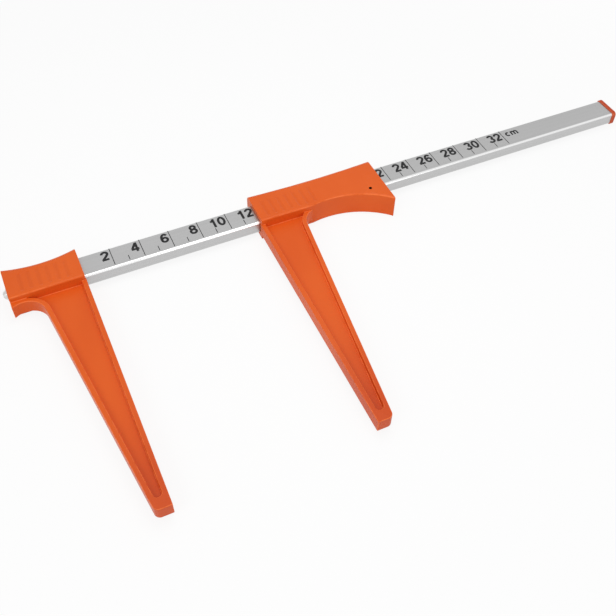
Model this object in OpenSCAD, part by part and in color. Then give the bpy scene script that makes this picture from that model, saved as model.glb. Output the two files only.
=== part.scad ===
// Log caliper: a scaled aluminium beam, a jaw fixed at its butt end and a jaw that slides along it.
// Millimetres. X runs along the beam, from the fixed jaw's measuring face at X = 0 to the end cap.
// Y = 0 is the throat, where the log meets the sleeves; the arms reach towards -Y.
// Z = 0 is the middle plane of the beam and of both arms, and the scale faces +Z.

/* [Range] */
// Jaw opening with the sliding jaw against the end cap
max_opening = 320; // [220:5:450]
// Jaw opening as drawn
rest_opening = 119; // [20:0.5:200]

/* [Beam] */
// Width of the beam's scaled face
beam_width = 18.5; // [16:0.5:26]
// Thickness of the beam
beam_thickness = 9.5; // [8:0.25:12]
// Wall of the beam's tube
beam_wall = 1.2; // [0.8:0.1:1.6]
// Outer corner radius of the beam's tube
beam_corner = 1.8; // [1:0.1:2.6]

/* [Jaw arms] */
// Reach of an arm from the throat to its tip
jaw_reach = 168; // [120:1:220]
// Width of an arm at the throat, before its root blend
arm_root_width = 30.6; // [26:0.2:33]
// Width of an arm at its tip
arm_tip_width = 9.8; // [9:0.2:14]
// Height of the rim around an arm
arm_thickness = 9.5; // [7:0.25:12]
// Width of the rim along both edges of an arm
arm_rim = 3; // [2:0.1:3.2]
// Length of the solid pad at an arm's tip
tip_pad = 7; // [4:0.5:14]
// Radius of the tip's outer corner
tip_corner = 3.5; // [1:0.25:5]
// Thickness of the web between the rims
web_thickness = 3; // [1.6:0.2:5]
// Height of the measuring face above the sleeve's end
face_proud = 0.4; // [0.2:0.1:1.5]
// Lip left in front of the fixed sleeve at the top of the root blend
butt_lip = 2.75; // [0.5:0.25:2.75]

/* [Sleeves] */
// Thickness of both sleeves over the beam
sleeve_thickness = 18; // [16:0.5:24]
// Wall between the throat and the beam's passage
front_wall = 2.5; // [2:0.1:5]
// Thinnest wall behind the beam's passage
back_wall = 2.2; // [1.6:0.1:5]
// Depth of the hollow along the fixed sleeve's back edge
fixed_dip = 3.4; // [1.6:0.2:6]
// Depth of the hollow along the sliding sleeve's back edge
slide_dip = 1.4; // [0.8:0.2:6]
// Edge radius along the hollow back
back_round = 4; // [1:0.25:5]
// Edge radius along the front
front_round = 1.5; // [0.5:0.1:2]
// Edge radius around the ends
end_round = 0.6; // [0.3:0.1:1.5]
// Blunt width of the corners at a sleeve's ends
horn_tip = 0.4; // [0.2:0.1:1]
// Length of the fixed sleeve, with its closed butt
fixed_length = 47.8; // [46:0.2:70]
// Thickness of the closed butt
butt_wall = 3; // [2:0.25:6]
// Length of the sliding sleeve
slide_length = 93.2; // [86:0.1:110]

/* [Finger grip] */
// Radius of the finger hollow
grip_radius = 60; // [54:1:75]
// Distance of the hollow's deepest point from the measuring face
grip_centre = 50.5; // [49.5:0.5:54]
// Depth of the hollow behind the throat
grip_depth = 1.1; // [1:0.1:1.6]
// Flat land between the arm's root blend and the hollow
grip_land = 0.3; // [0.2:0.1:0.6]

/* [Grip grooves] */
// Spacing of the grooves across the sleeves
groove_pitch = 5.8; // [4:0.2:8]
// Width of a groove
groove_width = 3; // [1:0.1:3.5]
// Depth of a groove
groove_depth = 0.4; // [0.2:0.1:1]
// Grooves on each face of the fixed sleeve
fixed_grooves = 6; // [2:1:7]
// Grooves on each face of the sliding sleeve
slide_grooves = 7; // [2:1:9]
// Distance from the sliding sleeve's end to its first groove
groove_start = 7; // [5:0.5:12]
// Distance from the throat to a groove's end
groove_margin = 4; // [3:0.5:6]

/* [Butt screw] */
// Diameter of the tapping screw
screw_diameter = 3.5; // [3:0.1:4.5]
// Length of the screw under its head
screw_length = 18; // [12:1:22]
// Diameter of the pan head
head_diameter = 6.6; // [6:0.1:8.5]
// Height of the pan head
head_height = 2.3; // [1.8:0.1:3.2]
// Diameter of the washer
washer_diameter = 7.8; // [7.2:0.2:11]
// Thickness of the washer
washer_thickness = 0.7; // [0.5:0.1:1.2]
// Length of the plug in the beam's butt
plug_length = 20; // [12:1:30]

/* [End cap] */
// Thickness of the cap's flange
cap_thickness = 3; // [2:0.25:6]
// Overhang of the flange around the beam
cap_overhang = 0.7; // [0.4:0.1:1.5]
// Length of the cap's spigot
spigot_length = 14; // [8:1:25]
// Wall of the cap's spigot
spigot_wall = 1.2; // [0.8:0.1:1.6]

/* [Drag spring] */
// Diameter of the pin behind the spring
pin_diameter = 2.2; // [1.6:0.1:2.6]
// Length of the pin
pin_length = 12; // [10:0.5:15]
// Distance of the pin from the sleeve's far end
pin_from_end = 11.6; // [10.6:0.1:12]
// Distance of the pin's centre in front of the beam
pin_from_beam = 3.4; // [3.2:0.1:3.8]
// Length of the bowed leaf, end to end
leaf_length = 13; // [10:0.5:14]
// Height of the leaf
leaf_height = 6; // [4:0.5:8]
// Thickness of the leaf
leaf_thickness = 0.5; // [0.3:0.1:0.7]

/* [Clearances] */
// Running gap between the sliding sleeve and the beam
slide_gap = 0.15; // [0.05:0.05:0.3]
// Gap at pieces that are pressed, screwed or pushed together
fit_gap = 0.05; // [0.02:0.01:0.1]
// Gap left at each end of the sliding jaw's travel
stop_gap = 0.1; // [0.05:0.05:0.3]
// Gap around the leaf in its pocket
leaf_gap = 0.4; // [0.2:0.1:0.6]

/* [Hidden] */
$fn = 64;

orange = [0.92, 0.36, 0.13];
aluminium = [0.76, 0.77, 0.79];
steel = [0.62, 0.63, 0.65];
black = [0.12, 0.12, 0.13];

// Overlap by which cutters pass a face and united shapes run into each other
lap = 1;
// Overlap by which a round passes the straight edges that it blends
touch = 0.01;

// The beam's place
beam_front = front_wall + slide_gap;
beam_middle = beam_front + beam_width / 2;
beam_back = beam_front + beam_width;
beam_butt = butt_wall - fixed_length;
beam_end = max_opening + slide_length + stop_gap;
bore_width = beam_width - 2 * beam_wall;
bore_thickness = beam_thickness - 2 * beam_wall;
bore_corner = max(beam_corner - beam_wall, 0.3);

// The sleeves
sleeve_half = sleeve_thickness / 2;
sleeve_back = beam_back + slide_gap + back_wall + max(fixed_dip, slide_dip);

// An arm's tapering outer edge is the line x = arm_root_width + taper * y
taper = (arm_root_width - arm_tip_width) / jaw_reach;
slant = sqrt(1 + taper * taper);
function outer_x(y) = arm_root_width + taper * y;

// The finger hollow is centred at grip_axis and crosses the throat line at grip_start
grip_axis = [grip_centre, grip_depth - grip_radius];
grip_start = grip_centre - sqrt(pow(grip_radius, 2) - pow(grip_axis.y, 2));
grip_flare = grip_axis.y + sqrt(pow(grip_radius, 2) - pow(slide_length - horn_tip - grip_centre, 2));

// The root blend touches the arm's outer edge and ends at blend_end, turned as the hollow begins
blend_end = grip_start - grip_land;
root_blend = (blend_end - arm_root_width)
    / (slant + (taper * grip_axis.y - grip_centre + grip_start) / grip_radius);
slide_blend_axis = [blend_end, 0] + root_blend / grip_radius * (grip_axis - [grip_start, 0]);
fixed_blend_y = -butt_lip - root_blend;
fixed_blend_axis = [outer_x(fixed_blend_y) + root_blend * slant, fixed_blend_y];

// The drag spring
pin_x = slide_length - pin_from_end;
pin_y = beam_front - pin_from_beam;
pin_rear = pin_y + pin_diameter / 2 + fit_gap;
leaf_rise = beam_front - slide_gap - pin_rear;
leaf_radius = (pow(leaf_length / 2, 2) + pow(leaf_rise, 2)) / (2 * leaf_rise);

// Rectangle with round corners, centred
module rounded_rect(width, height, radius) {
    square([width, height - 2 * radius], center = true);
    square([width - 2 * radius, height], center = true);
    for (x = [-1, 1], y = [-1, 1])
        translate([x * (width / 2 - radius), y * (height / 2 - radius)])
            circle(radius);
}

// Extrudes a profile drawn in Y and Z along X, from one place to another
module along_x(from, to) {
    translate([from, 0, 0])
        rotate([90, 0, 90])
            linear_extrude(to - from)
                children();
}

// Section of the beam's passage or of what fills it, drawn in Y and Z on the beam's axis
module beam_section(width, thickness, corner) {
    translate([beam_middle, 0])
        rounded_rect(width, thickness, corner);
}

// Passage for the beam, with a gap all round
module beam_passage(from, to, gap) {
    along_x(from, to)
        beam_section(beam_width + 2 * gap, beam_thickness + 2 * gap, beam_corner + gap);
}

// What is cut away below zero of a block, with its top and bottom edges rounded
module edge_cutter(depth, radius) {
    translate([-depth, -sleeve_half - lap])
        square([depth, sleeve_thickness + 2 * lap]);
    for (side = [-1, 1])
        scale([1, side])
            difference() {
                translate([-lap, sleeve_half - radius])
                    square([lap + radius, radius + lap]);
                translate([radius, sleeve_half - radius])
                    circle(radius);
            }
}

// Block of a sleeve with rounded long edges and ends
module sleeve_block(length, front) {
    depth = sleeve_back - front;
    intersection() {
        along_x(0, length)
            translate([front + depth / 2, 0])
                rounded_rect(depth, sleeve_thickness, front_round);
        translate([length / 2, sleeve_back, 0])
            rotate([90, 0, 0])
                linear_extrude(depth)
                    rounded_rect(length, sleeve_thickness, end_round);
    }
}

// Hollow along the back edge of a sleeve of the given length, which leaves a horn at each end
module back_hollow(length, dip) {
    radius = (pow(length / 2 - horn_tip, 2) + pow(dip, 2)) / (2 * dip);
    depth = dip + 3 * lap;
    half = asin((length / 2 + lap) / (radius - depth));
    translate([length / 2, sleeve_back - dip + radius, 0])
        rotate([0, 0, 270 - half])
            rotate_extrude(angle = 2 * half, $fn = 720)
                translate([radius, 0])
                    edge_cutter(depth, back_round);
}

// Hollow for the fingers in the sliding sleeve's front
module grip_hollow() {
    translate([grip_axis.x, grip_axis.y, 0])
        rotate_extrude($fn = 180)
            translate([grip_radius, 0])
                edge_cutter(grip_depth - grip_flare + lap, front_round);
}

// Row of shallow grooves across both faces of a sleeve
module grip_grooves(first, count) {
    radius = pow(groove_width, 2) / (8 * groove_depth) + groove_depth / 2;
    run = beam_back - groove_margin;
    for (i = [0 : count - 1], side = [-1, 1])
        translate([first + i * groove_pitch, groove_margin, side * (sleeve_half + radius - groove_depth)]) {
            rotate([-90, 0, 0])
                cylinder(r = radius, h = run - groove_margin);
            sphere(radius);
            translate([0, run - groove_margin, 0])
                sphere(radius);
        }
}

// Point where a blend of the given radius meets an arm's outer edge, or a line beside it
function blend_foot(axis, radius) = axis + radius / slant * [-1, taper];

// Outline of a whole arm: a tapered finger with a round tip corner and a hollow root blend
module arm_outline(axis, far) {
    corner_y = tip_corner - jaw_reach;
    corner_x = outer_x(corner_y) - tip_corner * slant;
    difference() {
        polygon([
            [0, 0],
            [0, -jaw_reach],
            [corner_x, -jaw_reach],
            [corner_x + tip_corner / slant, corner_y - tip_corner * taper / slant],
            blend_foot(axis, root_blend),
            axis,
            [far, axis.y],
            [far, 0]
        ]);
        translate(axis)
            circle(root_blend + touch, $fn = 128);
    }
    translate([corner_x, corner_y])
        circle(tip_corner + touch);
}

// Outline of the pocket inside an arm's rim, with a round end towards the tip
module pocket_outline(axis) {
    end_y = tip_pad - jaw_reach;
    end_radius = (outer_x(end_y) - arm_rim * (1 + slant)) / (2 - taper);
    difference() {
        polygon([
            [arm_rim, 0],
            [arm_rim, end_y + end_radius],
            [arm_rim + 2 * end_radius, end_y + end_radius],
            blend_foot(axis, root_blend + arm_rim),
            axis,
            [axis.x, 0]
        ]);
        translate(axis)
            circle(root_blend + arm_rim + touch, $fn = 128);
    }
    translate([arm_rim + end_radius, end_y + end_radius])
        circle(end_radius + touch);
}

// One arm: a rim around a thin web, tied into its sleeve's front wall
module arm(axis, far, tie) {
    difference() {
        translate([0, 0, -arm_thickness / 2])
            linear_extrude(arm_thickness) {
                arm_outline(axis, far);
                square([tie, front_wall / 2]);
            }
        for (side = [-1, 1])
            scale([1, 1, side])
                translate([0, 0, web_thickness / 2])
                    linear_extrude(arm_thickness)
                        pocket_outline(axis);
    }
}

// Pocket for the leaf, open to the beam's passage
module leaf_pocket() {
    length = leaf_length + 2 * leaf_gap;
    height = leaf_height + 2 * leaf_gap;
    translate([pin_x - length / 2, pin_y, -height / 2])
        cube([length, beam_front + lap - pin_y, height]);
}

// Rectangular aluminium tube
module beam() {
    color(aluminium)
        along_x(beam_butt, beam_end)
            difference() {
                beam_section(beam_width, beam_thickness, beam_corner);
                beam_section(bore_width, bore_thickness, bore_corner);
            }
}

// Moulded jaw whose sleeve closes over the beam's butt
module fixed_jaw() {
    color(orange)
        difference() {
            mirror([1, 0, 0]) {
                difference() {
                    translate([face_proud, 0, 0])
                        difference() {
                            sleeve_block(fixed_length - face_proud, 0);
                            back_hollow(fixed_length - face_proud, fixed_dip);
                        }
                    grip_grooves((fixed_length - (fixed_grooves - 1) * groove_pitch) / 2, fixed_grooves);
                }
                arm(fixed_blend_axis, fixed_length, fixed_length - butt_wall);
            }
            beam_passage(beam_butt, lap, fit_gap);
            translate([-fixed_length - lap, beam_middle, 0])
                rotate([0, 90, 0])
                    cylinder(d = screw_diameter + 2 * fit_gap, h = butt_wall + 2 * lap);
        }
}

// Moulded plug in the beam's butt, which the screw cuts its thread in
module butt_plug() {
    color(black)
        difference() {
            along_x(beam_butt, beam_butt + plug_length)
                beam_section(bore_width - 2 * fit_gap, bore_thickness - 2 * fit_gap, bore_corner);
            translate([beam_butt - lap, beam_middle, 0])
                rotate([0, 90, 0])
                    cylinder(d = screw_diameter + 2 * fit_gap, h = plug_length + 2 * lap);
        }
}

// Flat washer under the screw's head
module butt_washer() {
    color(steel)
        translate([-fixed_length - washer_thickness, beam_middle, 0])
            rotate([0, 90, 0])
                difference() {
                    cylinder(d = washer_diameter, h = washer_thickness);
                    translate([0, 0, -lap])
                        cylinder(d = screw_diameter + 2 * fit_gap, h = washer_thickness + 2 * lap);
                }
}

// Pan-head tapping screw, its dome turned away from the jaw
module butt_screw() {
    dome = (pow(head_diameter / 2, 2) + pow(head_height, 2)) / (2 * head_height);
    recess = head_diameter / 2;
    color(steel)
        translate([-fixed_length - washer_thickness, beam_middle, 0])
            rotate([0, 90, 0])
                difference() {
                    union() {
                        cylinder(d = screw_diameter, h = screw_length);
                        intersection() {
                            translate([0, 0, dome - head_height])
                                sphere(dome);
                            translate([0, 0, -head_height])
                                cylinder(d = head_diameter, h = head_height);
                        }
                    }
                    for (turn = [0, 90])
                        rotate([0, 0, turn])
                            translate([-recess / 2, -recess / 8, -head_height - lap])
                                cube([recess, recess / 4, lap + head_height / 2]);
                }
}

// Moulded cap with a hollow spigot in the beam's end
module end_cap() {
    width = bore_width - 2 * fit_gap;
    thickness = bore_thickness - 2 * fit_gap;
    color(orange)
        difference() {
            union() {
                along_x(beam_end, beam_end + cap_thickness)
                    beam_section(beam_width + 2 * cap_overhang, beam_thickness + 2 * cap_overhang,
                                 beam_corner + cap_overhang);
                along_x(beam_end - spigot_length, beam_end + cap_thickness / 2)
                    beam_section(width, thickness, bore_corner);
            }
            along_x(beam_end - spigot_length - lap, beam_end)
                beam_section(width - 2 * spigot_wall, thickness - 2 * spigot_wall, bore_corner);
        }
}

// Moulded jaw with a long sleeve, an open passage for the beam and a finger grip
module sliding_jaw() {
    color(orange)
        translate([rest_opening, 0, 0])
            difference() {
                union() {
                    difference() {
                        translate([face_proud, 0, 0])
                            difference() {
                                sleeve_block(slide_length - face_proud, grip_flare);
                                back_hollow(slide_length - face_proud, slide_dip);
                            }
                        grip_hollow();
                        along_x(-lap, grip_centre)
                            edge_cutter(-grip_flare + lap, front_round);
                        grip_grooves(groove_start, slide_grooves);
                    }
                    arm(slide_blend_axis, blend_end + lap, blend_end);
                }
                beam_passage(-lap, slide_length + lap, slide_gap);
                leaf_pocket();
                translate([pin_x, pin_y, -sleeve_half - lap])
                    cylinder(d = pin_diameter + 2 * fit_gap, h = sleeve_thickness + 2 * lap);
            }
}

// Bowed steel leaf that rubs on the beam's front edge and keeps the jaw where it is put
module drag_spring() {
    color(steel)
        translate([rest_opening + pin_x, pin_rear, -leaf_height / 2])
            linear_extrude(leaf_height)
                intersection() {
                    translate([0, leaf_radius])
                        difference() {
                            circle(leaf_radius, $fn = 128);
                            circle(leaf_radius - leaf_thickness, $fn = 128);
                        }
                    translate([-leaf_length / 2, 0])
                        square([leaf_length, leaf_rise]);
                }
}

// Steel pin that backs the leaf, pressed below both faces of the sleeve
module drag_pin() {
    color(steel)
        translate([rest_opening + pin_x, pin_y, -pin_length / 2])
            cylinder(d = pin_diameter, h = pin_length);
}

beam();
fixed_jaw();
butt_plug();
butt_washer();
butt_screw();
end_cap();
sliding_jaw();
drag_spring();
drag_pin();
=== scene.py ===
"""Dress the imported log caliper: a scaled beam, a fixed jaw at its butt and a jaw that slides along it.

The solids come from the frame, in metres.
+X runs along the beam, -Y along the arms and +Z out of the scale.
"""

import logging
import math
from dataclasses import dataclass, field
from enum import Enum

import bmesh
import bpy
from mathutils import Matrix, Vector


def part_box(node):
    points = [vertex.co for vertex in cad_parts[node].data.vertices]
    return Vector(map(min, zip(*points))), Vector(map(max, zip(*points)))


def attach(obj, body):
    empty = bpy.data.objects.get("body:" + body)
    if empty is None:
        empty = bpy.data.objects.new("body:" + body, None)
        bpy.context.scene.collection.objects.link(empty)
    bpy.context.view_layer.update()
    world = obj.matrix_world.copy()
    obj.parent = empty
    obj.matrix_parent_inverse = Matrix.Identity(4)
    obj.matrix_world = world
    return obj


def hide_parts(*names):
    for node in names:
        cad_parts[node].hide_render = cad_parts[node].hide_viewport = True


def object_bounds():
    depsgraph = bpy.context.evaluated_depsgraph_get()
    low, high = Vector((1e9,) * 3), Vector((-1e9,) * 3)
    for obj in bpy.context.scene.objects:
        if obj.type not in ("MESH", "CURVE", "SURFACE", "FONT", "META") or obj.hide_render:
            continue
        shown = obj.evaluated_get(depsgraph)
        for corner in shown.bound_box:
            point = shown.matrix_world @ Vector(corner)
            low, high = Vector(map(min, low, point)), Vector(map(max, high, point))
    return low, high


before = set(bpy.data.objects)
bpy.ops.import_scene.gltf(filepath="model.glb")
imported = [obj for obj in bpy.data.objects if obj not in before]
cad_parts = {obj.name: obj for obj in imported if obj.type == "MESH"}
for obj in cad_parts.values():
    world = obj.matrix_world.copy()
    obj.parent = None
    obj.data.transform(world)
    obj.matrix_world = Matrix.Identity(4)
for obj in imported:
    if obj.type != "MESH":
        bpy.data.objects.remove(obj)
CAD_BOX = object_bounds()

MM = 0.001
# Paler plastic edges and lighter tube corners and narrow faces: partly rubbing, partly a painted highlight.
WEAR_AND_HIGHLIGHT_ATTRIBUTE = "edge_wear_and_highlight"
# Painted shade in the drilled hole, and darkening along the grip grooves.
HOLE_SHADE_GROOVE_DARK_ATTRIBUTE = "hole_shade_and_groove_dark"
SCREEN_LEVELS = 255
SCREEN_KNEE = 0.04045
SCREEN_SLOPE = 12.92
SCREEN_OFFSET = 0.055
SCREEN_POWER = 2.4
MIX_SHARE = 0
MIX_LOW = 6
MIX_HIGH = 7
MIX_RESULT = 2
NOISE_MIDDLE = 0.5
PLAIN_ADVANCE = 0.65
WIDE_ADVANCE = 0.90
LOG = logging.getLogger("log_caliper")

Colour = tuple[float, float, float, float]
Point = tuple[float, float]
Span = tuple[float, float]
Stretch = tuple[float, float, float]

WHITE: Colour = (1.0, 1.0, 1.0, 1.0)


def linear(level: int) -> float:
    """Undo the screen's curve for one level.

    Args:
        level: Screen value, 0 to 255.

    Returns:
        The linear light, 0 to 1.
    """
    share = level / SCREEN_LEVELS
    if share <= SCREEN_KNEE:
        return share / SCREEN_SLOPE
    return ((share + SCREEN_OFFSET) / (1 + SCREEN_OFFSET)) ** SCREEN_POWER


def tint(red: int, green: int, blue: int) -> Colour:
    """Turn a colour of screen values, 0 to 255, into linear light.

    Args:
        red: Screen value of red.
        green: Screen value of green.
        blue: Screen value of blue.

    Returns:
        The linear colour with full alpha.
    """
    return linear(red), linear(green), linear(blue), 1.0


class Body(Enum):
    """The rigid bodies that pieces ride on."""

    FRAME = "frame"
    SLIDER = "slider"


class Slot(Enum):
    """The material slots."""

    ORANGE = "orange_plastic"
    ALUMINIUM = "aluminium"
    ZINC = "zinc_steel"
    SPRING = "spring_steel"
    NYLON = "black_nylon"


class Term:
    """A number that changes over a surface. Sums and products of terms add Math nodes."""

    def __init__(self, graph: "Graph", socket: bpy.types.NodeSocket) -> None:
        """Wrap an output socket of a graph."""
        self.graph = graph
        self.socket = socket

    def math(self, operation: str, first: "Term | float", second: "Term | float") -> "Term":
        """Add one Math node.

        Args:
            operation: The node's operation.
            first: Its first value.
            second: Its second value.

        Returns:
            The node's result.
        """
        return self.graph.term("ShaderNodeMath", {"operation": operation}, {0: first, 1: second})

    def __add__(self, other: "Term | float") -> "Term":
        """Add a value."""
        return self.math("ADD", self, other)

    def __radd__(self, other: float) -> "Term":
        """Add to a number."""
        return self.math("ADD", other, self)

    def __sub__(self, other: "Term | float") -> "Term":
        """Take a value away."""
        return self.math("SUBTRACT", self, other)

    def __mul__(self, other: "Term | float") -> "Term":
        """Multiply by a value."""
        return self.math("MULTIPLY", self, other)

    def swing(self, share: float) -> "Term":
        """Give a noise's change about its middle, times a share."""
        return (self - NOISE_MIDDLE) * share

    def between(self, low: float, high: float) -> "Term":
        """Ramp smoothly from 0 at low to 1 at high.

        Args:
            low: Value that gives 0.
            high: Value that gives 1.

        Returns:
            The ramped term.
        """
        settings = {"interpolation_type": "SMOOTHSTEP"}
        sockets = {"Value": self, "From Min": low, "From Max": high}
        return self.graph.term("ShaderNodeMapRange", settings, sockets)


class Graph:
    """The node tree of a material or of the surround."""

    def __init__(self, tree: bpy.types.NodeTree, material: bpy.types.Material | None = None) -> None:
        """Start a node tree afresh.

        Args:
            tree: The tree.
            material: The material that it belongs to, if there is one.
        """
        self.tree = tree
        self.material = material
        tree.nodes.clear()

    @classmethod
    def named(cls, name: str) -> "Graph":
        """Start a new material.

        Args:
            name: The material's name.

        Returns:
            Its empty node tree.
        """
        material = bpy.data.materials.new(name)
        material.use_nodes = True
        return cls(material.node_tree, material)

    def node(
        self, kind: str, settings: dict | None = None, sockets: dict | None = None,
    ) -> bpy.types.Node:
        """Add a node.

        Args:
            kind: The node's type.
            settings: Its properties, set before its sockets.
            sockets: Values, terms or output sockets for its inputs, by name or number.

        Returns:
            The new node.
        """
        made = self.tree.nodes.new(kind)
        for name, value in (settings or {}).items():
            setattr(made, name, value)
        for key, value in (sockets or {}).items():
            self.plug(made.inputs[key], value)
        return made

    def plug(self, socket: bpy.types.NodeSocket, value: object) -> None:
        """Link a term or an output to an input, or set the input's own value.

        Args:
            socket: The input.
            value: A term, an output socket or a plain value.
        """
        source = value.socket if isinstance(value, Term) else value
        if isinstance(source, bpy.types.NodeSocket):
            self.tree.links.new(source, socket)
        else:
            socket.default_value = source

    def term(self, kind: str, settings: dict | None = None, sockets: dict | None = None) -> Term:
        """Add a node and wrap its first output, with the arguments of node()."""
        return Term(self, self.node(kind, settings, sockets).outputs[0])

    def mix(self, share: "Term | float", low: object, high: object) -> bpy.types.NodeSocket:
        """Mix two colours.

        Args:
            share: How much of the second colour shows.
            low: First colour, or a socket.
            high: Second colour, or a socket.

        Returns:
            The mixed colour's socket.
        """
        sockets = {MIX_SHARE: share, MIX_LOW: low, MIX_HIGH: high}
        return self.node("ShaderNodeMix", {"data_type": "RGBA"}, sockets).outputs[MIX_RESULT]

    def place(self) -> bpy.types.NodeSocket:
        """Read a point's place in its object, in metres."""
        return self.node("ShaderNodeTexCoord").outputs["Object"]

    def noise(self, size: float, detail: float = 2.0, stretch: Stretch = (1.0, 1.0, 1.0)) -> Term:
        """Add a noise pattern in object coordinates.

        Args:
            size: Size of its features, in metres.
            detail: Octaves of finer noise.
            stretch: How much longer the features are along each axis.

        Returns:
            The noise, about 0.5 in the middle.
        """
        scale = tuple(1 / (size * share) for share in stretch)
        scaled = self.node("ShaderNodeMapping", None, {"Vector": self.place(), "Scale": scale}).outputs[0]
        return self.term("ShaderNodeTexNoise", None, {"Vector": scaled, "Scale": 1.0, "Detail": detail})

    def along(self, axis: str) -> Term:
        """Read a point's place along an axis, by the axis's letter, in metres."""
        return Term(self, self.node("ShaderNodeSeparateXYZ", None, {0: self.place()}).outputs[axis])

    def attribute(self, name: str) -> Term:
        """Read a number stored on the mesh, by its name."""
        made = self.node("ShaderNodeAttribute", {"attribute_type": "GEOMETRY", "attribute_name": name})
        return Term(self, made.outputs["Fac"])

    def bump(self, height: Term, depth: float, strength: float) -> bpy.types.NodeSocket:
        """Turn a height into a normal.

        Args:
            height: Height of the surface, 0 to 1.
            depth: Depth of a height of 1, in metres.
            strength: Share of the bump that is used.

        Returns:
            The normal's socket.
        """
        sockets = {"Height": height, "Distance": depth, "Strength": strength}
        return self.node("ShaderNodeBump", None, sockets).outputs[0]

    def close(self, sockets: dict) -> bpy.types.Material:
        """Finish the material with one surface shader.

        Args:
            sockets: The shader's inputs by name.

        Returns:
            The material.
        """
        shader = self.node("ShaderNodeBsdfPrincipled", None, sockets)
        self.node("ShaderNodeOutputMaterial", None, {"Surface": shader.outputs[0]})
        return self.material


@dataclass(frozen=True)
class MouldedPlastic:
    """Satin moulded plastic with flow marks, a fine grain, edges paler from rubbing and a painted
    highlight, painted shade towards the arm tips and in the drilled hole, and grooves darker with depth.
    """

    name: str
    colour: Colour
    deep: Colour
    # Paler edge colour: partly rubbing, partly a painted highlight.
    worn_and_highlight: Colour
    # Dark colour of the painted shade in the drilled hole and of the darkening along the grooves.
    shade_and_groove_dark: Colour = tint(26, 14, 10)
    # Painted shade: the arms darken towards their tips, where the light falls off.
    tip_shade: Colour = tint(196, 66, 18)
    tip_shade_start: float = -60 * MM
    tip_shade_end: float = -170 * MM
    tip_shade_share: float = 0.6
    tip_shade_least: float = 0.6
    tip_shade_flow: float = 0.8
    roughness: float = 0.40
    sheen: float = 0.2
    flow_size: float = 38 * MM
    flow_stretch: Stretch = (1.0, 2.2, 1.0)
    flow_range: Span = (0.3, 0.72)
    flow_share: float = 0.7
    flow_gloss: float = 0.12
    speck_size: float = 1.3 * MM
    speck_share: float = 0.16
    speck_gloss: float = 0.16
    grain_size: float = 0.34 * MM
    grain_depth: float = 0.018 * MM
    wave_size: float = 9 * MM
    wave_depth: float = 0.05 * MM
    bump_share: float = 0.8
    rub_size: float = 5.2 * MM
    rub_range: Span = (0.25, 0.6)
    wear_highlight_share: float = 0.8
    wear_gloss: float = 0.14

    def make(self) -> bpy.types.Material:
        """Build the material.

        Returns:
            The material.
        """
        graph = Graph.named(self.name)
        flow = graph.noise(self.flow_size, detail=3.0, stretch=self.flow_stretch)
        speck = graph.noise(self.speck_size)
        grain = graph.noise(self.grain_size)
        wave = graph.noise(self.wave_size, detail=1.0)
        rub = graph.noise(self.rub_size, detail=3.0).between(*self.rub_range)
        # Edges paler from rubbing and from a painted highlight along the rounds.
        wear_and_highlight = graph.attribute(WEAR_AND_HIGHLIGHT_ATTRIBUTE) * rub * self.wear_highlight_share
        depth = flow.between(*self.flow_range) * self.flow_share + speck * self.speck_share
        # Painted shade, darker towards the arm tips along -Y.
        tip_shade_mask = graph.along("Y").between(self.tip_shade_start, self.tip_shade_end)
        tip_shade_mask = tip_shade_mask * (self.tip_shade_least + flow * self.tip_shade_flow)
        body = graph.mix(depth, self.colour, self.deep)
        tip_shaded = graph.mix(tip_shade_mask * self.tip_shade_share, body, self.tip_shade)
        rubbed_and_highlit = graph.mix(wear_and_highlight, tip_shaded, self.worn_and_highlight)
        height = grain * (self.grain_depth / self.wave_depth) + wave
        gloss = speck.swing(self.speck_gloss) + flow.swing(self.flow_gloss) - wear_and_highlight * self.wear_gloss
        return graph.close({
            # Painted shade darkens the drilled hole; the grip grooves darken with depth.
            "Base Color": graph.mix(graph.attribute(HOLE_SHADE_GROOVE_DARK_ATTRIBUTE), rubbed_and_highlit, self.shade_and_groove_dark),
            "Roughness": self.roughness + gloss,
            "Normal": graph.bump(height, self.wave_depth, self.bump_share),
            "Specular IOR Level": self.sheen,
        })


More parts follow.
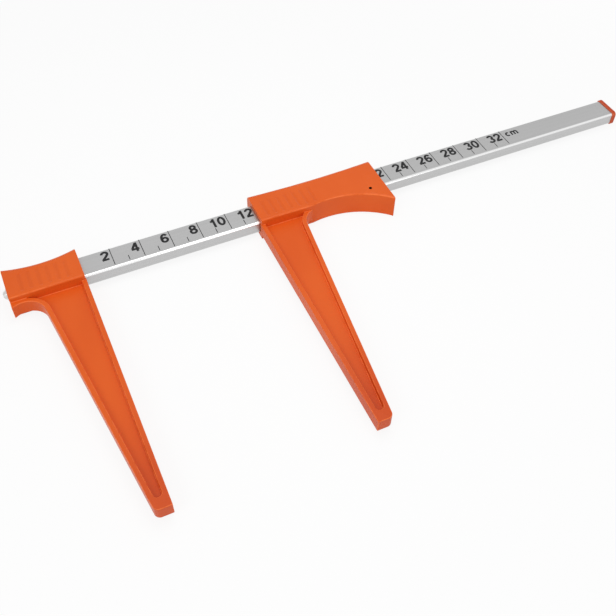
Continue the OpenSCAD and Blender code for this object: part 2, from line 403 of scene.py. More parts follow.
@dataclass(frozen=True)
class DrawnAluminium:
    """Drawn and anodised aluminium: fine lines along the tube, and lighter corners and narrow faces, partly
    from rubbing by the sleeve and partly a painted highlight and painted reflection.
    """

    name: str
    colour: Colour
    dull: Colour
    # Lighter colour of the corners and narrow faces: rubbing with a painted highlight.
    burnish_and_highlight: Colour
    roughness: float = 0.34
    line_size: float = 0.16 * MM
    line_stretch: Stretch = (420.0, 1.0, 1.0)
    line_share: float = 0.35
    line_gloss: float = 0.24
    line_depth: float = 0.012 * MM
    band_size: float = 1.44 * MM
    band_share: float = 0.35
    band_height: float = 0.5
    bump_share: float = 0.6
    cloud_size: float = 16 * MM
    cloud_stretch: Stretch = (5.0, 1.0, 1.0)
    cloud_share: float = 0.3
    cloud_gloss: float = 0.14
    scuff_size: float = 0.08 * MM
    scuff_stretch: Stretch = (90.0, 1.0, 1.0)
    scuff_range: Span = (0.70, 0.80)
    scuff_share: float = 0.35
    polish_highlight_range: Span = (0.3, 0.9)
    polish_highlight_least: float = 0.75
    polish_highlight_bands: float = 0.4
    polish_gloss: float = 0.08

    def make(self) -> bpy.types.Material:
        """Build the material.

        Returns:
            The material.
        """
        graph = Graph.named(self.name)
        lines = graph.noise(self.line_size, detail=3.0, stretch=self.line_stretch)
        bands = graph.noise(self.band_size, stretch=self.line_stretch)
        cloud = graph.noise(self.cloud_size, detail=4.0, stretch=self.cloud_stretch)
        scuff = graph.noise(self.scuff_size, detail=0.0, stretch=self.scuff_stretch)
        tone = lines * self.line_share + bands * self.band_share + cloud * self.cloud_share
        # Painted highlight along the corners and painted reflection on the narrow faces, with some rubbing.
        polish_and_highlight = graph.attribute(WEAR_AND_HIGHLIGHT_ATTRIBUTE).between(*self.polish_highlight_range)
        polish_and_highlight = polish_and_highlight * (self.polish_highlight_least + bands * self.polish_highlight_bands)
        drawn = graph.mix(tone, self.dull, self.colour)
        scuffed = graph.mix(scuff.between(*self.scuff_range) * self.scuff_share, drawn, self.colour)
        gloss = lines.swing(self.line_gloss) + cloud.swing(self.cloud_gloss) - polish_and_highlight * self.polish_gloss
        return graph.close({
            "Base Color": graph.mix(polish_and_highlight, scuffed, self.burnish_and_highlight),
            "Metallic": 1.0,
            "Roughness": self.roughness + gloss,
            "Normal": graph.bump(lines + bands * self.band_height, self.line_depth, self.bump_share),
        })


@dataclass(frozen=True)
class PlatedSteel:
    """Plated or oiled steel, with dull blotches and a fine grain."""

    name: str
    colour: Colour
    dull: Colour
    roughness: float = 0.26
    blotch_size: float = 1.6 * MM
    blotch_range: Span = (0.35, 0.75)
    blotch_gloss: float = 0.22
    fine_size: float = 0.12 * MM
    fine_depth: float = 0.006 * MM
    fine_gloss: float = 0.08
    bump_share: float = 0.5

    def make(self) -> bpy.types.Material:
        """Build the material.

        Returns:
            The material.
        """
        graph = Graph.named(self.name)
        blotch = graph.noise(self.blotch_size, detail=4.0)
        fine = graph.noise(self.fine_size)
        return graph.close({
            "Base Color": graph.mix(blotch.between(*self.blotch_range), self.colour, self.dull),
            "Metallic": 1.0,
            "Roughness": self.roughness + blotch.swing(self.blotch_gloss) + fine.swing(self.fine_gloss),
            "Normal": graph.bump(fine, self.fine_depth, self.bump_share),
        })


@dataclass(frozen=True)
class PrintedInk:
    """Screen-printed ink, rubbed thin in places."""

    name: str
    colour: Colour
    thin: Colour
    roughness: float = 0.48
    sheen: float = 0.2
    rub_size: float = 2.4 * MM
    rub_stretch: Stretch = (3.0, 1.0, 1.0)
    rub_range: Span = (0.52, 0.86)
    rub_share: float = 0.8
    mesh_size: float = 0.16 * MM
    mesh_depth: float = 0.004 * MM
    mesh_share: float = 0.1
    mesh_gloss: float = 0.2
    bump_share: float = 0.5

    def make(self) -> bpy.types.Material:
        """Build the material.

        Returns:
            The material.
        """
        graph = Graph.named(self.name)
        rub = graph.noise(self.rub_size, detail=4.0, stretch=self.rub_stretch)
        weave = graph.noise(self.mesh_size, detail=1.0)
        thin = rub.between(*self.rub_range) * self.rub_share + weave * self.mesh_share
        return graph.close({
            "Base Color": graph.mix(thin, self.colour, self.thin),
            "Roughness": self.roughness + weave.swing(self.mesh_gloss),
            "Normal": graph.bump(weave, self.mesh_depth, self.bump_share),
            "Specular IOR Level": self.sheen,
        })


ORANGE = MouldedPlastic("orange_plastic", tint(230, 100, 33), tint(220, 88, 25), tint(250, 126, 66))
CAP_ORANGE = MouldedPlastic("cap_plastic", tint(198, 73, 33), tint(178, 59, 27), tint(218, 110, 68))
ALUMINIUM = DrawnAluminium("drawn_aluminium", tint(188, 188, 188), tint(170, 170, 170), tint(236, 236, 236))
ZINC = PlatedSteel("zinc_steel", tint(228, 228, 226), tint(192, 190, 186))
SPRING = PlatedSteel("spring_steel", tint(64, 63, 62), tint(34, 33, 32), roughness=0.42)
NYLON = MouldedPlastic("black_nylon", tint(34, 34, 36), tint(24, 24, 26), tint(70, 70, 72), roughness=0.5)
INK = PrintedInk("scale_ink", tint(28, 28, 30), tint(56, 56, 58))


def shown(name: str, mesh: bpy.types.Mesh, material: bpy.types.Material) -> bpy.types.Object:
    """Put a finished mesh into the scene at the origin.

    Args:
        name: The piece's name.
        mesh: Its mesh, in the row frame.
        material: Its only material.

    Returns:
        The new object.
    """
    mesh.name = name
    mesh.materials.clear()
    mesh.materials.append(material)
    made = bpy.data.objects.new(name, mesh)
    bpy.context.scene.collection.objects.link(made)
    return made


def baked(source: bpy.types.Object) -> bpy.types.Mesh:
    """Turn an object with its modifiers into a plain mesh and remove the object.

    Args:
        source: The object.

    Returns:
        The evaluated mesh.
    """
    graph = bpy.context.evaluated_depsgraph_get()
    mesh = bpy.data.meshes.new_from_object(
        source.evaluated_get(graph), preserve_all_data_layers=True, depsgraph=graph,
    )
    bpy.data.objects.remove(source)
    return mesh


def settle(piece: bpy.types.Object, body: Body, slot: Slot | None, *nodes: str) -> None:
    """Ride a piece on its body and hide the nodes that it stands for.

    Args:
        piece: The piece.
        body: The body that carries it.
        slot: Not used.
        *nodes: CAD nodes that it replaces.
    """
    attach(piece, body.value)
    if nodes:
        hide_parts(*nodes)
    LOG.info("%s rides on %s with %d faces", piece.name, body.value, len(piece.data.polygons))


@dataclass
class SoftenedNode:
    """A copy of a CAD node with its sharp edges rounded, as a mould leaves them."""

    node: str
    edge_round: float
    throat: float | None = None
    hole: str | None = None
    hole_reach: float = 0.4 * MM
    groove_depth: float | None = None
    # Share of darkening at a groove's full depth.
    groove_darkening: float = 0.06
    groove_slack: float = 1.2
    groove_lean: float = 0.72
    lean_fade: float = 0.25
    round_reach: float = 2.0 * MM
    groove_clear: Vector = field(default_factory=lambda: Vector((3.0, 3.5, 0.0)) * MM)
    throat_reach: Vector = field(default_factory=lambda: Vector((1.2, 2.4, 0.0)) * MM)
    segments: int = 3
    sharp_angle: float = 60.0
    weld: float = 0.002 * MM
    flat_angle: float = 0.6

    def stays_sharp(self, edge: bmesh.types.BMEdge) -> bool:
        """Tell whether an edge is at a drilled hole, or in the step where an arm's face meets its sleeve.

        Args:
            edge: An edge of the merged copy.

        Returns:
            True for an edge of the hole or of that step.
        """
        ends = [vertex.co for vertex in edge.verts]
        if self.in_hole(ends):
            return True
        if self.throat is None:
            return False
        reach = self.throat_reach
        return all(abs(end.x - self.throat) < reach.x and abs(end.y) < reach.y for end in ends)

    def in_hole(self, points: list[Vector]) -> bool:
        """Tell whether all of some points lie at the drilled hole, which a pin's box places.

        Args:
            points: The points.

        Returns:
            True if there is a hole and no point is outside it.
        """
        if self.hole is None:
            return False
        low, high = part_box(self.hole)
        middle = (low + high) / 2
        reach = (high.x - low.x) / 2 + self.hole_reach
        return all((point.xy - middle.xy).length < reach for point in points)

    def welded(self) -> bpy.types.Mesh:
        """Copy the node's triangles, merged into whole faces, with weights on its sharp edges.

        Returns:
            The merged mesh.
        """
        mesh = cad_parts[self.node].data.copy()
        work = bmesh.new()
        work.from_mesh(mesh)
        bmesh.ops.remove_doubles(work, verts=work.verts, dist=self.weld)
        bmesh.ops.dissolve_degenerate(work, dist=self.weld, edges=work.edges)
        flat = math.radians(self.flat_angle)
        bmesh.ops.dissolve_limit(work, angle_limit=flat, verts=work.verts, edges=work.edges)
        weight = work.edges.layers.float.new("bevel_weight_edge")
        sharp = math.radians(self.sharp_angle)
        for edge in work.edges:
            if edge.calc_face_angle(0.0) > sharp and not self.stays_sharp(edge):
                edge[weight] = 1.0
        for face in work.faces:
            face.smooth = True
            face.material_index = 0
        work.to_mesh(mesh)
        work.free()
        return mesh

    def build(self, material: bpy.types.Material) -> bpy.types.Object:
        """Round the sharp edges, mark the paler rubbing and painted highlight, the painted shade in the
        hole and the grooves' darkening, and dress the piece.

        Args:
            material: The piece's material. A second slot of it marks the rounded edges at first.

        Returns:
            The piece.
        """
        mesh = self.welded()
        mesh.materials.clear()
        mesh.materials.append(material)
        mesh.materials.append(material)
        rough = bpy.data.objects.new(self.node + "_rough", mesh)
        bpy.context.scene.collection.objects.link(rough)
        bevel = rough.modifiers.new("round", "BEVEL")
        bevel.width = self.edge_round
        bevel.segments = self.segments
        bevel.limit_method = "WEIGHT"
        bevel.use_clamp_overlap = False
        bevel.material = 1
        bevel.miter_outer = "MITER_ARC"
        weight = rough.modifiers.new("flat_faces", "WEIGHTED_NORMAL")
        weight.keep_sharp = True
        finished = baked(rough)
        self.mark_wear_and_highlight(finished)
        self.mark_hole_shade_and_groove_dark(finished)
        self.mend_normals(finished)
        return shown(self.node + "_moulding", finished, material)

    def wear_and_highlight_at(self, vertex: bpy.types.MeshVertex, least: float) -> float:
        """Give the paler rubbing and painted highlight on a moulded round along a sleeve's edge, from the
        way that it leans.

        Args:
            vertex: A point outside the rounded edges.
            least: Least height above the middle plane at which a sleeve's rounds begin.

        Returns:
            1 along the middle of a round, and 0 on flat faces and in shallow grooves.
        """
        if abs(vertex.co.z) < least:
            return 0.0
        lean = vertex.normal.z ** 2
        steep = min(max((self.groove_lean - lean) / self.lean_fade, 0.0), 1.0)
        return steep * min(lean / self.lean_fade, 1.0)

    def mark_wear_and_highlight(self, mesh: bpy.types.Mesh) -> None:
        """Store 1 inside a rounded edge and the moulded rounds' paler rubbing and painted highlight
        elsewhere, then use one material.

        Args:
            mesh: The bevelled mesh, with its rounded edges in material 1.
        """
        # Rounded edges get the full share of paler rubbing and painted highlight.
        outside = [False] * len(mesh.vertices)
        for face in mesh.polygons:
            if face.material_index == 0:
                for vertex in face.vertices:
                    outside[vertex] = True
            face.material_index = 0
        layer = mesh.attributes.new(WEAR_AND_HIGHLIGHT_ATTRIBUTE, "FLOAT", "POINT")
        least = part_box(self.node)[1].z - self.round_reach
        shares = [
            self.wear_and_highlight_at(vertex, least) if plain else 1.0 for vertex, plain in zip(mesh.vertices, outside)
        ]
        layer.data.foreach_set("value", shares)

    def groove_darkening_at(self, point: Vector, low: Vector, high: Vector) -> float:
        """Give the darkening at a point of a grip groove, which grows with the point's depth and so is most
        along its middle.

        Args:
            point: A point of the piece.
            low: Low corner of the piece's box.
            high: High corner of that box.

        Returns:
            The share of darkening, 0 outside the grooves.
        """
        if self.groove_depth is None:
            return 0.0
        clear = self.groove_clear
        depth = high.z - abs(point.z)
        along = low.x + clear.x < point.x < high.x - clear.x
        across = clear.y < point.y < high.y - clear.y
        if not (along and across) or depth > self.groove_slack * self.groove_depth:
            return 0.0
        return self.groove_darkening * depth / self.groove_depth

    def mark_hole_shade_and_groove_dark(self, mesh: bpy.types.Mesh) -> None:
        """Store 1 at the corners of the faces inside the drilled hole, a painted shade that makes the hole
        dark, and the grooves' darkening elsewhere.

        Args:
            mesh: The finished mesh.
        """
        layer = mesh.attributes.new(HOLE_SHADE_GROOVE_DARK_ATTRIBUTE, "FLOAT", "CORNER")
        low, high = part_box(self.node)
        for face in mesh.polygons:
            points = [mesh.vertices[vertex].co for vertex in face.vertices]
            # A face inside the hole gets the full painted shade.
            holed = self.in_hole(points)
            for corner, point in zip(face.loop_indices, points):
                layer.data[corner].value = 1.0 if holed else self.groove_darkening_at(point, low, high)

    @staticmethod
    def mend_normals(mesh: bpy.types.Mesh, least: float = 0.6) -> None:
        """Give a face its own normal at each corner where the shared normal leans too far from it.

        Args:
            mesh: The finished mesh.
            least: Least cosine between a corner's normal and its face.
        """
        normals = [corner.vector.copy() for corner in mesh.corner_normals]
        for face in mesh.polygons:
            for corner in face.loop_indices:
                if normals[corner].dot(face.normal) < least:
                    normals[corner] = face.normal.copy()
        mesh.normals_split_custom_set(normals)


@dataclass
class Beam:
    """The rectangular tube, with its corners drawn round."""

    corner: float = 1.8 * MM
    wall: float = 1.2 * MM
    least_corner: float = 0.3 * MM
    corner_steps: int = 10
    sharp_angle: float = 40.0
    # Share on the narrow faces: a painted reflection with some rubbing.
    side_rub_and_reflection: float = 0.5
    low: Vector = field(init=False)
    high: Vector = field(init=False)

    def __post_init__(self) -> None:
        """Take the tube's box from the frame."""
        self.low, self.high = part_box("beam")

    def ring(self, inset: float, radius: float) -> list[Point]:
        """Trace a rounded rectangle inside the tube's section.

        Args:
            inset: Distance inside the tube's outer face.
            radius: Corner radius.

        Returns:
            Points in Y and Z, counter-clockwise seen from +X.
        """
        half_y = (self.high.y - self.low.y) / 2 - inset - radius
        half_z = (self.high.z - self.low.z) / 2 - inset - radius
        middle = (self.low + self.high) / 2
        points = []
        for quarter in range(4):
            start = quarter * math.pi / 2
            sign_y = 1 if quarter in (0, 3) else -1
            sign_z = 1 if quarter in (0, 1) else -1
            for step in range(self.corner_steps + 1):
                angle = start + step / self.corner_steps * math.pi / 2
                y = middle.y + sign_y * half_y + radius * math.cos(angle)
                z = middle.z + sign_z * half_z + radius * math.sin(angle)
                points.append((y, z))
        return points

    def build(self) -> None:
        """Make the tube and set it on the frame."""
        outer = self.ring(0.0, self.corner)
        inner = self.ring(self.wall, max(self.corner - self.wall, self.least_corner))
        work = bmesh.new()
        wear_and_highlight = work.verts.layers.float.new(WEAR_AND_HIGHLIGHT_ATTRIBUTE)
        rows = [
            [work.verts.new((x, y, z)) for y, z in points]
            for x, points in (
                (self.low.x, outer), (self.high.x, outer), (self.high.x, inner), (self.low.x, inner),
            )
        ]
        count = len(outer)
        for row, following in zip(rows, rows[1:] + rows[:1]):
            for i in range(count):
                after = (i + 1) % count
                work.faces.new((row[i], row[after], following[after], following[i]))
        bmesh.ops.recalc_face_normals(work, faces=work.faces)
        # Corners get a painted highlight with rubbing; the narrow faces get a smaller painted reflection.
        for row in rows[:2]:
            for i, vertex in enumerate(row):
                quarter, step = divmod(i, self.corner_steps + 1)
                turn = step / self.corner_steps
                narrow = math.cos((quarter + turn) * math.pi / 2) ** 2
                vertex[wear_and_highlight] = max(math.sin(math.pi * turn), self.side_rub_and_reflection * narrow)
        for face in work.faces:
            face.smooth = True
        mesh = bpy.data.meshes.new("beam_tube")
        work.to_mesh(mesh)
        work.free()
        rough = bpy.data.objects.new("beam_rough", mesh)
        bpy.context.scene.collection.objects.link(rough)
        weight = rough.modifiers.new("flat_faces", "WEIGHTED_NORMAL")
        weight.keep_sharp = True
        mesh.set_sharp_from_angle(angle=math.radians(self.sharp_angle))
        piece = shown("beam_tube", baked(rough), ALUMINIUM.make())
        settle(piece, Body.FRAME, Slot.ALUMINIUM, "beam")


class Glyph(Enum):
    """The printed characters, drawn as strokes in heights of a figure."""

    ZERO = "0"
    ONE = "1"
    TWO = "2"
    THREE = "3"
    FOUR = "4"
    SIX = "6"
    EIGHT = "8"
    SMALL_C = "c"
    SMALL_M = "m"

    @staticmethod
    def arc(centre: Point, radii: Point, start: float, end: float, steps: int = 18) -> list[Point]:
        """Trace part of an ellipse.

        Args:
            centre: The ellipse's centre.
            radii: Its radii along X and Y.
            start: First angle, in degrees.
            end: Last angle, in degrees.
            steps: Straight pieces along it.

        Returns:
            The points.
        """
        turns = [math.radians(start + (end - start) * i / steps) for i in range(steps + 1)]
        return [(centre[0] + radii[0] * math.cos(t), centre[1] + radii[1] * math.sin(t)) for t in turns]

    def strokes(self) -> list[list[Point]]:
        """Give the middle lines of the character's strokes.

        Returns:
            Lists of points, in heights of a figure, from the character's lower left corner.
        """
        arc = Glyph.arc
        shapes = {
            Glyph.ZERO: lambda: [arc((0.30, 0.50), (0.215, 0.415), 90, 450, 36)],
            Glyph.ONE: lambda: [[(0.37, 0.0), (0.37, 1.0)], [(0.12, 0.70), (0.27, 0.77), (0.37, 0.93)]],
            Glyph.TWO: lambda: [
                arc((0.29, 0.70), (0.21, 0.215), 178, -30) + [(0.30, 0.36), (0.13, 0.16), (0.10, 0.09)],
                [(0.02, 0.085), (0.53, 0.085)],
            ],
            Glyph.THREE: lambda: [
                arc((0.28, 0.715), (0.19, 0.20), 165, -90),
                arc((0.28, 0.300), (0.22, 0.215), 90, -165),
            ],
            Glyph.FOUR: lambda: [
                [(0.40, 0.95), (0.06, 0.34)],
                [(0.00, 0.28), (0.58, 0.28)],
                [(0.41, 0.0), (0.41, 1.0)],
            ],
            Glyph.SIX: lambda: [
                arc((0.30, 0.315), (0.205, 0.230), 90, 450, 30),
                arc((0.33, 0.45), (0.235, 0.465), 185, 42),
            ],
            Glyph.EIGHT: lambda: [
                arc((0.30, 0.720), (0.180, 0.195), 90, 450, 30),
                arc((0.30, 0.300), (0.212, 0.215), 90, 450, 30),
            ],
            Glyph.SMALL_C: lambda: [arc((0.28, 0.33), (0.20, 0.25), 48, 312)],
            Glyph.SMALL_M: lambda: [
                [(0.08, 0.0), (0.08, 0.64)],
                arc((0.25, 0.41), (0.17, 0.17), 180, 0, 10) + [(0.42, 0.0)],
                arc((0.59, 0.41), (0.17, 0.17), 180, 0, 10) + [(0.76, 0.0)],
            ],
        }
        return shapes[self]()

    @property
    def advance(self) -> float:
        """Width of the character with its gap, in heights of a figure."""
        return WIDE_ADVANCE if self is Glyph.SMALL_M else PLAIN_ADVANCE


@dataclass(frozen=True)
class Word:
    """A printed word, placed by its right edge along the beam and its foot across it."""

    text: str
    right: float
    foot: float
    height: float


@dataclass
class PrintedScale:
    """The centimetre scale printed on the beam: a long line and a figure every second centimetre."""

    pitch: float = 20 * MM
    figures: int = 16
    figure_step: int = 2
    figure_height: float = 8.1 * MM
    figure_spread: float = 1.1
    stroke: float = 1.68 * MM
    figure_foot: float = 7.95 * MM
    figure_gap: float = 0.9 * MM
    line_width: float = 0.48 * MM
    line_inset: float = 1.0 * MM
    long_line: float = 15.0 * MM
    short_line: float = 4.2 * MM
    short_inset: float = 2.8 * MM
    unit_height: float = 6.4 * MM
    unit_stroke: float = 1.25 * MM
    unit_foot: float = 9.9 * MM
    unit_gap: float = 3.0 * MM
    ink: float = 0.03 * MM
    ink_step: float = 0.005 * MM
    low: Vector = field(init=False)
    high: Vector = field(init=False)

    def __post_init__(self) -> None:
        """Take the printed face's place from the beam's box."""
        self.low, self.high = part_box("beam")

    @staticmethod
    def started(name: str, result: str, kinds: dict[str, str]) -> bpy.types.GeometryNodeTree:
        """Start a node tree with named inputs and one shape that comes out.

        Args:
            name: The tree's name.
            result: The name of what it makes.
            kinds: The kinds of its inputs by name.

        Returns:
            The tree, without nodes.
        """
        tree = bpy.data.node_groups.new(name, "GeometryNodeTree")
        for given, kind in kinds.items():
            tree.interface.new_socket(name=given, in_out="INPUT", socket_type="NodeSocket" + kind)
        tree.interface.new_socket(name=result, in_out="OUTPUT", socket_type="NodeSocketGeometry")
        return tree

    @staticmethod
    def ended(
        tree: bpy.types.GeometryNodeTree, shape: bpy.types.NodeSocket, ink: bpy.types.NodeSocket,
    ) -> None:
        """End a node tree by making its copies real and dressing them.

        Args:
            tree: The tree.
            shape: The shape to dress.
            ink: The input that holds its material.
        """
        real = tree.nodes.new("GeometryNodeRealizeInstances")
        dress = tree.nodes.new("GeometryNodeSetMaterial")
        result = tree.nodes.new("NodeGroupOutput")
        tree.links.new(shape, real.inputs[0])
        tree.links.new(real.outputs[0], dress.inputs["Geometry"])
        tree.links.new(ink, dress.inputs["Material"])
        tree.links.new(dress.outputs[0], result.inputs[0])

    def tick_tree(self) -> bpy.types.GeometryNodeTree:
        """Build the node tree of a row of printed lines.

        Returns:
            The tree, with inputs for the row's sizes and its material.
        """
        tree = self.started("printed_lines", "Lines", {
            "First": "Vector", "Pitch": "Float", "Count": "Int", "Size": "Vector", "Ink": "Material",
        })
        make = tree.nodes.new
        link = tree.links.new
        given = make("NodeGroupInput").outputs
        step = make("ShaderNodeCombineXYZ")
        row = make("GeometryNodeMeshLine")
        bar = make("GeometryNodeMeshCube")
        copies = make("GeometryNodeInstanceOnPoints")
        row.mode = "OFFSET"
        link(given["Pitch"], step.inputs["X"])
        link(given["Count"], row.inputs["Count"])
        link(given["First"], row.inputs["Start Location"])
        link(step.outputs[0], row.inputs["Offset"])
        link(given["Size"], bar.inputs["Size"])
        link(row.outputs["Mesh"], copies.inputs["Points"])
        link(bar.outputs["Mesh"], copies.inputs["Instance"])
        self.ended(tree, copies.outputs[0], given["Ink"])
        return tree

    def stroke_tree(self) -> bpy.types.GeometryNodeTree:
        """Build the node tree that gives drawn lines the width and thickness of print.

        Returns:
            The tree, with inputs for the stroke's sizes and its material.
        """
        tree = self.started("printed_strokes", "Print", {
            "Drawn": "Geometry", "Stroke": "Float", "Thickness": "Float", "Ink": "Material",
        })
        make = tree.nodes.new
        link = tree.links.new
        given = make("NodeGroupInput").outputs
        upright = make("GeometryNodeSetCurveNormal")
        section = make("GeometryNodeCurvePrimitiveQuadrilateral")
        swept = make("GeometryNodeCurveToMesh")
        upright.mode = "Z_UP"
        swept.inputs["Fill Caps"].default_value = True
        link(given["Drawn"], upright.inputs["Curve"])
        link(given["Stroke"], section.inputs["Width"])
        link(given["Thickness"], section.inputs["Height"])
        link(upright.outputs[0], swept.inputs["Curve"])
        link(section.outputs[0], swept.inputs["Profile Curve"])
        self.ended(tree, swept.outputs[0], given["Ink"])
        return tree

    @staticmethod
    def grown(
        name: str, data: bpy.types.ID, tree: bpy.types.GeometryNodeTree, values: dict,
    ) -> bpy.types.Mesh:
        """Run a node tree on an object and keep the mesh that it makes.

        Args:
            name: Name of the working object.
            data: The object's data.
            tree: The node tree.
            values: Values of the tree's inputs by name.

        Returns:
            The plain mesh.
        """
        source = bpy.data.objects.new(name, data)
        bpy.context.scene.collection.objects.link(source)
        modifier = source.modifiers.new(tree.name, "NODES")
        modifier.node_group = tree
        for socket in tree.interface.items_tree:
            if socket.in_out == "INPUT" and socket.name in values:
                modifier[socket.identifier] = values[socket.name]
        return baked(source)

    def lines(
        self, tree: bpy.types.GeometryNodeTree, name: str, first: float, count: int,
        middle: float, length: float, ink: bpy.types.Material,
    ) -> None:
        """Print one row of lines across the beam.

        Args:
            tree: The tree of a row of lines.
            name: The piece's name.
            first: Place of the first line along the beam.
            count: Number of lines.
            middle: Place of their middles across the beam.
            length: Length of a line.
            ink: Their material.
        """
        mesh = self.grown(name + "_drawn", bpy.data.meshes.new(name), tree, {
            "First": (first, middle, self.high.z + self.ink / 2),
            "Pitch": self.pitch,
            "Count": count,
            "Size": (self.line_width, length, self.ink),
            "Ink": ink,
        })
        settle(shown(name, mesh, ink), Body.FRAME, None)

    def words(self) -> list[Word]:
        """List the printed words.

        Returns:
            One for each figure, and the unit last.
        """
        foot = self.low.y + self.figure_foot
        rows = [
            Word(str(self.figure_step * i), i * self.pitch - self.figure_gap, foot, self.figure_height)
            for i in range(1, self.figures + 1)
        ]
        width = self.unit_height * self.figure_spread * (Glyph.SMALL_C.advance + Glyph.SMALL_M.advance)
        right = self.figures * self.pitch + self.unit_gap + width
        rows.append(Word("cm", right, self.low.y + self.unit_foot, self.unit_height))
        return rows

    def drawn(self, words: list[Word]) -> bpy.types.Curve:
        """Draw the middle lines of printed words on the beam.

        Args:
            words: The words.

        Returns:
            The curve.
        """
        curve = bpy.data.curves.new("figures_drawn", "CURVE")
        curve.dimensions = "3D"
        for word in words:
            glyphs = [Glyph(letter) for letter in word.text]
            wide = word.height * self.figure_spread
            left = word.right - wide * sum(glyph.advance for glyph in glyphs)
            for glyph in glyphs:
                for level, stroke in enumerate(glyph.strokes()):
                    points = [(left + x * wide, word.foot + y * word.height) for x, y in stroke]
                    self.add_spline(curve, points, level * self.ink_step)
                left += wide * glyph.advance
        return curve

    def add_spline(self, curve: bpy.types.Curve, points: list[Point], lift: float) -> None:
        """Add one stroke to a curve, closed where its ends meet.

        Args:
            curve: The curve.
            points: The stroke's points on the printed face.
            lift: How far the stroke stands above a character's first one, which it overlaps.
        """
        closed = math.dist(points[0], points[-1]) < self.ink
        used = points[:-1] if closed else points
        spline = curve.splines.new("POLY")
        spline.points.add(len(used) - 1)
        for target, (x, y) in zip(spline.points, used):
            target.co = (x, y, self.high.z + self.ink / 2 + lift, 1.0)
        spline.use_cyclic_u = closed

    def build(self) -> None:
        """Print the scale and set it on the frame."""
        ink = INK.make()
        ticks = self.tick_tree()
        long_middle = self.high.y - self.line_inset - self.long_line / 2
        short_middle = self.low.y + self.short_inset + self.short_line / 2
        between = self.pitch + self.pitch / 2
        for name, first, count, middle, length in (
            ("scale_long_lines", self.pitch, self.figures, long_middle, self.long_line),
            ("scale_short_lines", between, self.figures - 1, short_middle, self.short_line),
        ):
            self.lines(ticks, name, first, count, middle, length, ink)
        strokes = self.stroke_tree()
        words = self.words()
        for name, stroke, chosen in (
            ("scale_figures", self.stroke, words[:-1]),
            ("scale_unit", self.unit_stroke, words[-1:]),
        ):
            mesh = self.grown(name + "_drawn", self.drawn(chosen), strokes, {
                "Stroke": stroke,
                "Thickness": self.ink,
                "Ink": ink,
            })
            settle(shown(name, mesh, ink), Body.FRAME, None)


@dataclass
class Mouldings:
    """The orange mouldings: both jaws and the end cap."""

    jaw_round: float = 0.5 * MM
    cap_round: float = 0.45 * MM
    groove_depth: float = 0.4 * MM
    rest_opening: float = 119.0 * MM

    def build(self) -> None:
        """Round and dress the mouldings, and set them on their bodies."""
        orange = ORANGE.make()
        fixed = SoftenedNode("fixed_jaw", self.jaw_round, 0.0, groove_depth=self.groove_depth)
        sliding = SoftenedNode(
            "sliding_jaw", self.jaw_round, self.rest_opening, "drag_pin", groove_depth=self.groove_depth,
        )
        for softened, material, body in (
            (fixed, orange, Body.FRAME),
            (sliding, orange, Body.SLIDER),
            (SoftenedNode("end_cap", self.cap_round), CAP_ORANGE.make(), Body.FRAME),
        ):
            settle(softened.build(material), body, Slot.ORANGE, softened.node)


@dataclass
class Fixings:
    """The butt's screw, washer and plug, and the drag's spring and pin."""

    def build(self) -> None:
        """Dress the small pieces, which keep their CAD shapes."""
        zinc = ZINC.make()
        spring = SPRING.make()
        nylon = NYLON.make()
        for node, material in (
            ("butt_screw", zinc), ("butt_washer", zinc), ("butt_plug", nylon),
            ("drag_spring", spring), ("drag_pin", spring),
        ):
            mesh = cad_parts[node].data
            mesh.materials.clear()
            mesh.materials.append(material)
            LOG.info("%s keeps its shape", node)


@dataclass
class Camera:
    """The camera, at the place that the scale's lines and the caliper's outline give it."""

    image: int = 616
    focal_pixels: float = 819.41
    sensor: float = 36.0
    azimuth: float = -25.822
    elevation: float = 50.533
    roll: float = 1.446
    target: Vector = field(default_factory=lambda: Vector((119.308, -74.309, 0.0)) * MM)
    distance: float = 509.926 * MM
    nearest: float = 1 * MM
    farthest: float = 100.0

    def build(self) -> None:
        """Make the camera and look through it."""
        azimuth = math.radians(self.azimuth)
        elevation = math.radians(self.elevation)
        back = Vector((
            math.sin(azimuth) * math.cos(elevation),
            -math.cos(azimuth) * math.cos(elevation),
            math.sin(elevation),
        ))
        right = Vector((math.cos(azimuth), math.sin(azimuth), 0.0))
        up = back.cross(right)
        turn = Matrix((right, up, back)).transposed() @ Matrix.Rotation(math.radians(self.roll), 3, "Z")
        data = bpy.data.cameras.new("camera")
        data.sensor_width = self.sensor
        data.lens = self.focal_pixels * self.sensor / self.image
        data.clip_start = self.nearest
        data.clip_end = self.farthest
        camera = bpy.data.objects.new("camera", data)
        camera.matrix_world = Matrix.Translation(self.target + self.distance * back) @ turn.to_4x4()
        bpy.context.scene.collection.objects.link(camera)
        bpy.context.scene.camera = camera


@dataclass
class Lamp:
    """One soft box, square to a line from the caliper's middle."""

    name: str
    direction: Vector
    distance: float
    length: float
    height: float
    power: float

    def build(self, target: Vector) -> None:
        """Make the lamp.

        Args:
            target: The caliper's middle.
        """
        data = bpy.data.lights.new(self.name, "AREA")
        data.shape = "RECTANGLE"
        data.size = self.length
        data.size_y = self.height
        data.energy = self.power
        lamp = bpy.data.objects.new(self.name, data)
        aim = self.direction.normalized()
        lamp.location = target + aim * self.distance
        lamp.rotation_mode = "QUATERNION"
        lamp.rotation_quaternion = aim.to_track_quat("Z", "Y")
        bpy.context.scene.collection.objects.link(lamp)


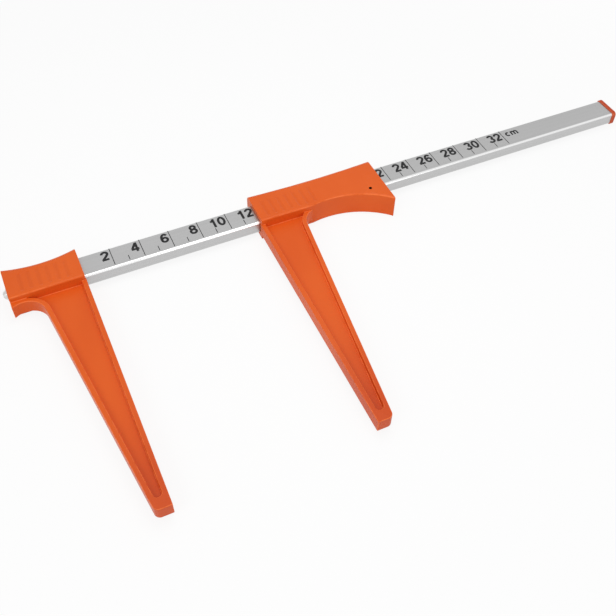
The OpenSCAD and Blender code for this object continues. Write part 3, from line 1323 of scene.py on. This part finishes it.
@dataclass
class Studio:
    """A white sweep, soft boxes and an even white surround."""

    floor_size: float = 12.0
    floor_gap: float = 0.02 * MM
    floor_colour: Colour = (0.92, 0.92, 0.92, 1.0)
    glow: float = 0.88
    surround: float = 0.56
    fade_start: float = 0.3
    fade_end: float = 0.8
    lamps: tuple[Lamp, ...] = (
        Lamp("key", Vector((-0.05, 0.1, 0.99)), distance=0.5, length=0.3, height=0.3, power=0.82),
        Lamp("fill", Vector((-0.7, -0.36, 0.62)), distance=1.2, length=0.5, height=0.5, power=2.3),
        Lamp("front", Vector((0.25, -0.9, 0.3)), distance=1.2, length=0.5, height=0.5, power=1.3),
    )

    @staticmethod
    def seen(graph: Graph) -> Term:
        """Tell the rays that see the background from those that only carry its light.

        Args:
            graph: The node tree that asks.

        Returns:
            1 where a ray comes from the camera, a gloss or a clear piece, and 0 elsewhere.
        """
        path = graph.node("ShaderNodeLightPath").outputs
        total = Term(graph, path["Is Camera Ray"]) + Term(graph, path["Is Glossy Ray"])
        total = total + Term(graph, path["Is Transmission Ray"])
        return total.math("MINIMUM", total, 1.0)

    def floor(self) -> None:
        """Make the floor that the caliper lies on, which fades into the surround away from it."""
        graph = Graph.named("white_sweep")
        paper = graph.node("ShaderNodeBsdfDiffuse", None, {"Color": self.floor_colour})
        light = graph.node("ShaderNodeEmission", None, {"Strength": 1.0})
        measure = graph.node("ShaderNodeVectorMath", {"operation": "LENGTH"}, {0: graph.place()})
        away = Term(graph, measure.outputs["Value"]).between(self.fade_start, self.fade_end)
        share = self.seen(graph) * (self.glow + away * (1.0 - self.glow))
        sockets = {0: share, 1: paper.outputs[0], 2: light.outputs[0]}
        both = graph.node("ShaderNodeMixShader", None, sockets)
        graph.node("ShaderNodeOutputMaterial", None, {"Surface": both.outputs[0]})
        half = self.floor_size / 2
        height = CAD_BOX[0].z - self.floor_gap
        mesh = bpy.data.meshes.new("floor")
        square = ((-half, -half), (half, -half), (half, half), (-half, half))
        corners = [(x, y, height) for x, y in square]
        mesh.from_pydata(corners, [], [(0, 1, 2, 3)])
        shown("floor", mesh, graph.material)

    def world(self) -> None:
        """Surround the studio with white, dimmer for the light that it sheds."""
        world = bpy.data.worlds.new("surround")
        bpy.context.scene.world = world
        world.use_nodes = True
        graph = Graph(world.node_tree)
        strength = self.surround + self.seen(graph) * (1.0 - self.surround)
        sky = graph.node("ShaderNodeBackground", None, {"Color": WHITE, "Strength": strength})
        graph.node("ShaderNodeOutputWorld", None, {"Surface": sky.outputs[0]})

    def build(self) -> None:
        """Set up the floor, the surround and the lamps."""
        bpy.context.scene.view_settings.view_transform = "Standard"
        self.floor()
        self.world()
        target = (CAD_BOX[0] + CAD_BOX[1]) / 2
        for lamp in self.lamps:
            lamp.build(target)


def main() -> None:
    """Build the camera, the pieces and the studio."""
    logging.basicConfig(level=logging.INFO, format="%(name)s: %(message)s")
    Camera().build()
    for part in (Beam(), PrintedScale(), Mouldings(), Fixings(), Studio()):
        part.build()


if __name__ == "__main__":
    main()
